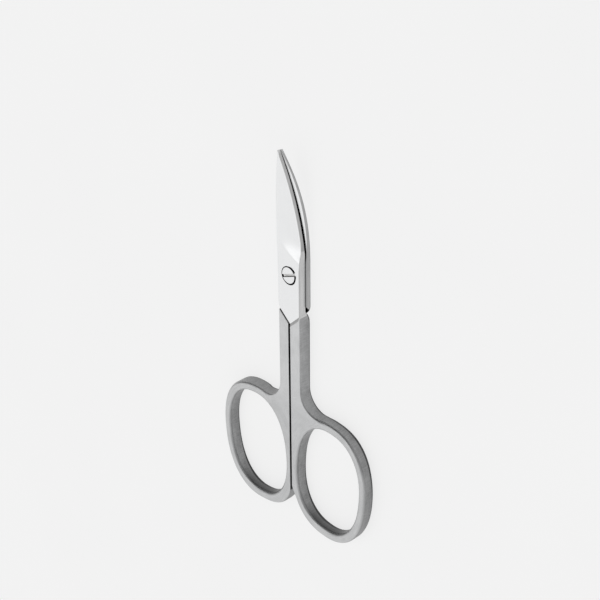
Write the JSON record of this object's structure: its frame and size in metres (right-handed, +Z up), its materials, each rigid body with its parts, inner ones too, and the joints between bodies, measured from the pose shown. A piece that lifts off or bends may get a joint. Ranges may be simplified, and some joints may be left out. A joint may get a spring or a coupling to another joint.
{
  "type": "nail scissors",
  "caption": "Nail scissors with curved polished blades, straight satin shanks and oval finger loops, opening about a slotted flush pivot screw.",
  "frame": {"origin": "foot of the pivot axis, at the centre of the screw's flat foot, level with the rear faces of the shanks and loops", "axes": "+Y along the length from the pivot to the blade tips, +Z up out of the front face along the pivot axis, +X towards the right finger loop; the scissors lie closed on their rear face"},
  "size_m": [0.0444, 0.0899, 0.0058],
  "materials": {
    "front_steel": "satin handle, polished blade",
    "rear_steel": "satin handle, polished blade",
    "screw_steel": "polished"
  },
  "bodies": {
    "rear": {"rear_half": "rear_steel", "pivot_screw": "screw_steel"},
    "front": {"front_half": "front_steel"}
  },
  "joints": [
    {"name": "pivot", "type": "hinge", "parent": "rear", "child": "front", "pos_m": [0, 0, 0], "axis": [0, 0, 1], "range_deg": [0, 135]}
  ]
}
